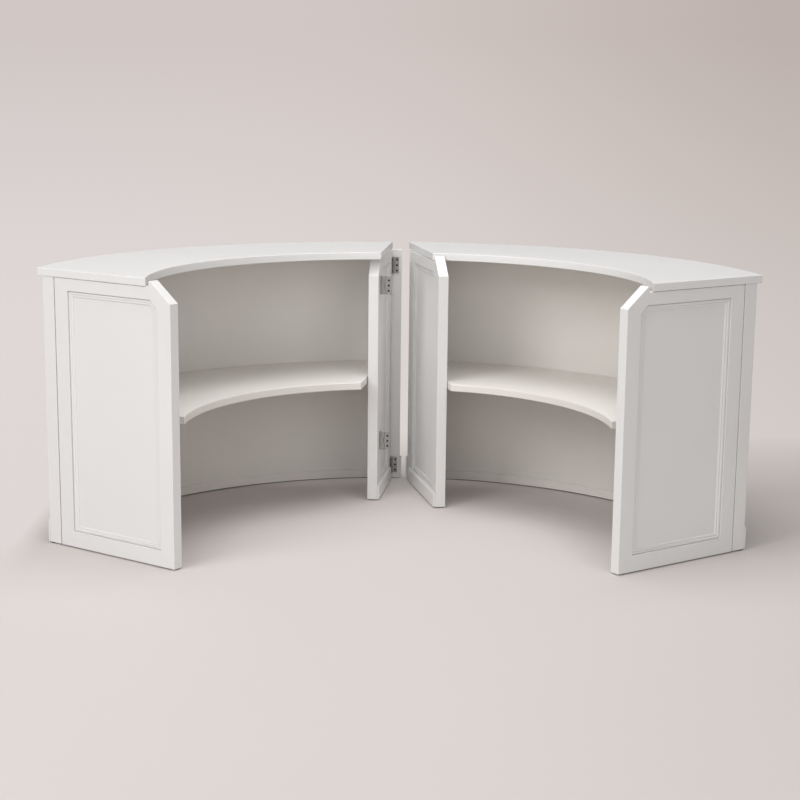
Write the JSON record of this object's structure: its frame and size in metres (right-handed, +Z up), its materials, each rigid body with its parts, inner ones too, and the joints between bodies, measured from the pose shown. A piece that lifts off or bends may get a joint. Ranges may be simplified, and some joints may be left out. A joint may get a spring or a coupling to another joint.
{
  "type": "folding portable bar",
  "caption": "White curved portable bar in matching sections, with a panelled front, overhanging lift-off counter, curved shelf and hinged framed end wings.",
  "frame": {"origin": "on the floor, in the middle of the ground that the bar covers", "axes": "+Z up, +X to the bartender's right along the bar, +Y away from the bartender towards the front"},
  "size_m": [2.7198, 1.518, 1.067],
  "materials": {
    "white_paint": "satin white paint",
    "hinge_steel": "brushed",
    "foot_nylon": "matte"
  },
  "bodies": {
    "left_section": {"left_front_wall": "white_paint", "left_front_skirting": "white_paint", "left_front_frame": "white_paint", "left_base_rail": "white_paint", "left_top_rail": "white_paint", "left_outer_post": "white_paint", "left_centre_post": "white_paint", "left_foot_strip": "foot_nylon", "left_shelf_bearer": "white_paint", "left_outer_hinge_post_leaf": "hinge_steel", "left_outer_hinge_pin": "hinge_steel", "left_centre_lower_hinge_post_leaf": "hinge_steel", "left_centre_upper_hinge_post_leaf": "hinge_steel"},
    "left_counter": {"left_counter_top": "white_paint", "left_counter_locating_rail": "white_paint"},
    "left_shelf_board": {"left_shelf": "white_paint"},
    "left_outer_wing": {"left_outer_wing_frame": "white_paint", "left_outer_wing_panel": "white_paint", "left_outer_wing_moulding": "white_paint", "left_outer_wing_glide": "foot_nylon", "left_outer_hinge_wing_leaf": "hinge_steel"},
    "left_centre_wing": {"left_centre_wing_frame": "white_paint", "left_centre_wing_panel": "white_paint", "left_centre_wing_moulding": "white_paint", "left_centre_wing_glide": "foot_nylon", "left_centre_wing_plinth": "white_paint", "left_centre_lower_hinge_wing_leaf": "hinge_steel", "left_centre_upper_hinge_wing_leaf": "hinge_steel", "lower_link_bracket": "hinge_steel", "upper_link_bracket": "hinge_steel"},
    "right_section": {"right_front_wall": "white_paint", "right_front_skirting": "white_paint", "right_front_frame": "white_paint", "right_base_rail": "white_paint", "right_top_rail": "white_paint", "right_outer_post": "white_paint", "right_centre_post": "white_paint", "right_foot_strip": "foot_nylon", "right_shelf_bearer": "white_paint", "right_outer_hinge_post_leaf": "hinge_steel", "right_outer_hinge_pin": "hinge_steel", "right_centre_lower_hinge_post_leaf": "hinge_steel", "right_centre_upper_hinge_post_leaf": "hinge_steel"},
    "right_counter": {"right_counter_top": "white_paint", "right_counter_locating_rail": "white_paint"},
    "right_shelf_board": {"right_shelf": "white_paint"},
    "right_outer_wing": {"right_outer_wing_frame": "white_paint", "right_outer_wing_panel": "white_paint", "right_outer_wing_moulding": "white_paint", "right_outer_wing_glide": "foot_nylon", "right_outer_hinge_wing_leaf": "hinge_steel"},
    "right_centre_wing": {"right_centre_wing_frame": "white_paint", "right_centre_wing_panel": "white_paint", "right_centre_wing_moulding": "white_paint", "right_centre_wing_glide": "foot_nylon", "right_centre_wing_plinth": "white_paint", "right_centre_lower_hinge_wing_leaf": "hinge_steel", "right_centre_upper_hinge_wing_leaf": "hinge_steel"},
    "lower_link": {"lower_link_leaf": "hinge_steel"},
    "upper_link": {"upper_link_leaf": "hinge_steel"}
  },
  "joints": [
    {"name": "right_section_part", "type": "slide", "parent": "left_section", "child": "right_section", "axis": [1, 0, 0], "range_m": [0, 0.3]},
    {"name": "left_outer_wing_fold", "type": "hinge", "parent": "left_section", "child": "left_outer_wing", "pos_m": [-1.26273, -0.39744, 0.508], "axis": [0, 0, 1], "range_deg": [0, 12]},
    {"name": "left_centre_wing_swing", "type": "hinge", "parent": "left_section", "child": "left_centre_wing", "pos_m": [-0.0312, 0.69502, 0.5175], "axis": [0, 0, 1], "range_deg": [0, 7.7]},
    {"name": "left_counter_lift", "type": "slide", "parent": "left_section", "child": "left_counter", "axis": [0, 0, 1], "range_m": [0, 0.3]},
    {"name": "left_shelf_lift", "type": "slide", "parent": "left_section", "child": "left_shelf_board", "axis": [0, 0, 1], "range_m": [0, 0.4]},
    {"name": "right_outer_wing_fold", "type": "hinge", "parent": "right_section", "child": "right_outer_wing", "pos_m": [1.26273, -0.39744, 0.508], "axis": [0, 0, -1], "range_deg": [0, 12]},
    {"name": "right_centre_wing_swing", "type": "hinge", "parent": "right_section", "child": "right_centre_wing", "pos_m": [0.0888, 0.69502, 0.5175], "axis": [0, 0, -1], "range_deg": [0, 12.9]},
    {"name": "right_counter_lift", "type": "slide", "parent": "right_section", "child": "right_counter", "axis": [0, 0, 1], "range_m": [0, 0.3]},
    {"name": "right_shelf_lift", "type": "slide", "parent": "right_section", "child": "right_shelf_board", "axis": [0, 0, 1], "range_m": [0, 0.4]},
    {"name": "lower_link_swing", "type": "hinge", "parent": "left_centre_wing", "child": "lower_link", "pos_m": [-0.06216, 0.35409, 0.252], "axis": [0, 0, 1], "range_deg": [-90, 90]},
    {"name": "upper_link_swing", "type": "hinge", "parent": "left_centre_wing", "child": "upper_link", "pos_m": [-0.06216, 0.35409, 0.921], "axis": [0, 0, 1], "range_deg": [-90, 90]}
  ]
}
